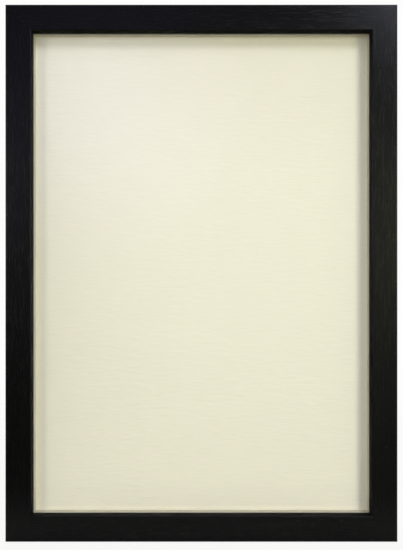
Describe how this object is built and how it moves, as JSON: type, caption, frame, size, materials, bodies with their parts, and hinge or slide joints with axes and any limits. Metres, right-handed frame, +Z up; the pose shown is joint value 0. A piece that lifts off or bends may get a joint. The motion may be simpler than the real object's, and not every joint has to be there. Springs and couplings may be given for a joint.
{
  "type": "floating picture frame",
  "caption": "Upright black wooden picture frame for one sheet, with glazing held off a cream float board, turn buttons and ring hangers behind, and a folding strut.",
  "frame": {"origin": "middle of the flat underside of the bottom rail, halfway through the depth of the rails", "axes": "+Z up, the window faces -Y, +X to the right of someone in front"},
  "size_m": [0.235, 0.0237, 0.322],
  "materials": {
    "black_painted_wood": "satin black paint over wood, open grain just visible",
    "v_nail_steel": "stamped steel sheet",
    "glazing": "clear float glass",
    "spacer_plastic": "extruded cream plastic",
    "facing_paper": "cream paper with fine cross wrinkles",
    "float_card": "white foam-centred board",
    "backing_mdf": "pressed fibreboard, smooth side out",
    "button_steel": "nickel-plated stamped steel",
    "screw_steel": "nickel-plated steel",
    "hanger_steel": "nickel-plated steel strap",
    "ring_steel": "nickel-plated steel wire",
    "bumper_rubber": "moulded rubber",
    "strut_board": "fibreboard lined with black paper",
    "hinge_steel": "zinc-plated stamped steel",
    "rivet_steel": "nickel-plated steel"
  },
  "bodies": {
    "frame": {"top_rail": "black_painted_wood", "bottom_rail": "black_painted_wood", "left_stile": "black_painted_wood", "right_stile": "black_painted_wood", "corner_v_nails": "v_nail_steel", "glazing_pane": "glazing", "spacer_top": "spacer_plastic", "spacer_bottom": "spacer_plastic", "spacer_left": "spacer_plastic", "spacer_right": "spacer_plastic", "facing_paper": "facing_paper", "float_board": "float_card", "backing_board": "backing_mdf", "turn_button_screws": "screw_steel", "hanger_strap_left": "hanger_steel", "hanger_strap_right": "hanger_steel", "hanger_screws": "screw_steel", "wall_bumper_left": "bumper_rubber", "wall_bumper_right": "bumper_rubber", "strut_board_leaf": "hinge_steel", "strut_hinge_pin": "hinge_steel", "strut_board_rivets": "rivet_steel"},
    "turn_button_top_left": {"turn_button_top_left": "button_steel"},
    "turn_button_bottom_left": {"turn_button_bottom_left": "button_steel"},
    "turn_button_top_right": {"turn_button_top_right": "button_steel"},
    "turn_button_bottom_right": {"turn_button_bottom_right": "button_steel"},
    "turn_button_left_upper": {"turn_button_left_upper": "button_steel"},
    "turn_button_left_lower": {"turn_button_left_lower": "button_steel"},
    "turn_button_right_upper": {"turn_button_right_upper": "button_steel"},
    "turn_button_right_lower": {"turn_button_right_lower": "button_steel"},
    "hanger_ring_left": {"hanger_ring_left": "ring_steel"},
    "hanger_ring_right": {"hanger_ring_right": "ring_steel"},
    "strut": {"strut_leg": "strut_board", "strut_leg_leaf": "hinge_steel", "strut_leg_rivets": "rivet_steel"}
  },
  "joints": [
    {"name": "turn_button_top_left_turn", "type": "hinge", "parent": "frame", "child": "turn_button_top_left", "pos_m": [-0.062, 0.0088, 0.3162], "axis": [0, 1, 0], "continuous": true},
    {"name": "turn_button_bottom_left_turn", "type": "hinge", "parent": "frame", "child": "turn_button_bottom_left", "pos_m": [-0.062, 0.0088, 0.0058], "axis": [0, 1, 0], "continuous": true},
    {"name": "turn_button_top_right_turn", "type": "hinge", "parent": "frame", "child": "turn_button_top_right", "pos_m": [0.062, 0.0088, 0.3162], "axis": [0, 1, 0], "continuous": true},
    {"name": "turn_button_bottom_right_turn", "type": "hinge", "parent": "frame", "child": "turn_button_bottom_right", "pos_m": [0.062, 0.0088, 0.0058], "axis": [0, 1, 0], "continuous": true},
    {"name": "turn_button_left_upper_turn", "type": "hinge", "parent": "frame", "child": "turn_button_left_upper", "pos_m": [-0.1117, 0.0088, 0.261], "axis": [0, 1, 0], "continuous": true},
    {"name": "turn_button_left_lower_turn", "type": "hinge", "parent": "frame", "child": "turn_button_left_lower", "pos_m": [-0.1117, 0.0088, 0.061], "axis": [0, 1, 0], "continuous": true},
    {"name": "turn_button_right_upper_turn", "type": "hinge", "parent": "frame", "child": "turn_button_right_upper", "pos_m": [0.1117, 0.0088, 0.261], "axis": [0, 1, 0], "continuous": true},
    {"name": "turn_button_right_lower_turn", "type": "hinge", "parent": "frame", "child": "turn_button_right_lower", "pos_m": [0.1117, 0.0088, 0.061], "axis": [0, 1, 0], "continuous": true},
    {"name": "hanger_ring_left_swing", "type": "hinge", "parent": "frame", "child": "hanger_ring_left", "pos_m": [-0.1103, 0.0106, 0.222], "axis": [1, 0, 0], "range_deg": [0, 176]},
    {"name": "hanger_ring_right_swing", "type": "hinge", "parent": "frame", "child": "hanger_ring_right", "pos_m": [0.1103, 0.0106, 0.222], "axis": [1, 0, 0], "range_deg": [0, 176]},
    {"name": "strut_swing", "type": "hinge", "parent": "frame", "child": "strut", "pos_m": [0, 0.0115, 0.206], "axis": [1, 0, 0], "range_deg": [0, 26]}
  ]
}
